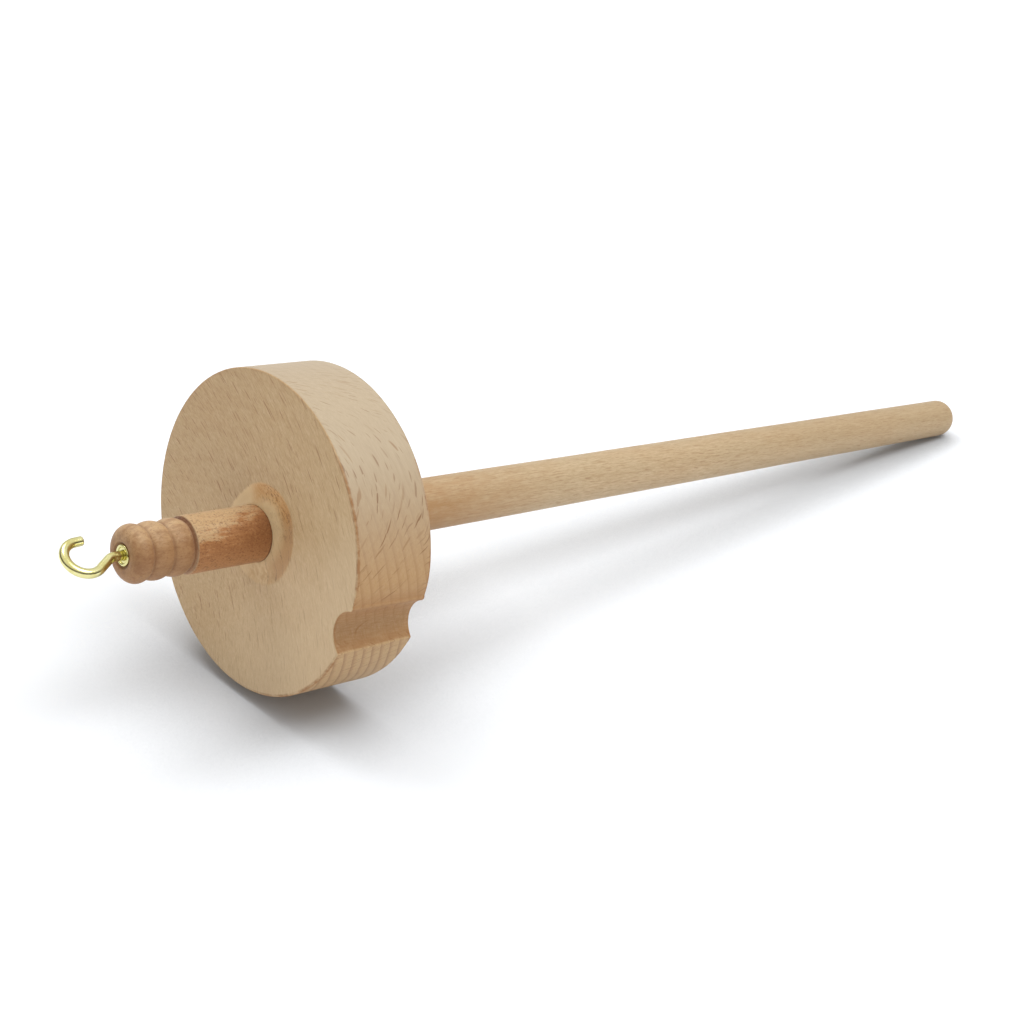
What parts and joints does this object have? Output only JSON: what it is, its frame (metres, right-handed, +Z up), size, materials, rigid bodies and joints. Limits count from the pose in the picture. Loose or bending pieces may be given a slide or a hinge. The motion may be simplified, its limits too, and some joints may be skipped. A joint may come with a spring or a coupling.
{
  "type": "drop spindle",
  "caption": "Top-whorl drop spindle: turned beech shaft with beads and a rounded tip, thick round whorl with a yarn notch, and a screwed-in brass hook on a collar.",
  "frame": {"origin": "on the shaft's axis, in the plane of the whorl's underside, at the middle of that flat ring", "axes": "+Z runs up the shaft toward the hook; +X points out of the rim through the yarn notch"},
  "size_m": [0.0795, 0.08, 0.348],
  "materials": {
    "shaft_beech": "fine-sanded, thin oil",
    "whorl_beech": "fine-sanded, thin oil",
    "hook_brass": "polished plate",
    "collar_brass": "polished plate"
  },
  "bodies": {
    "spindle": {"shaft": "shaft_beech", "whorl": "whorl_beech"},
    "collar": {"hook_collar": "collar_brass"},
    "hook": {"hook": "hook_brass"}
  },
  "joints": [
    {"name": "hook_travel", "type": "slide", "parent": "spindle", "child": "collar", "axis": [0, 0, 1], "range_m": [0, 0.00875]},
    {"name": "hook_turn", "type": "hinge", "parent": "collar", "child": "hook", "pos_m": [0, 0, 0.0584], "axis": [0, 0, 1], "range_deg": [0, 2520]}
  ],
  "couplings": [
    {"joint": "hook_turn", "follows": "hook_travel", "rad_per_m": 5026.5}
  ]
}
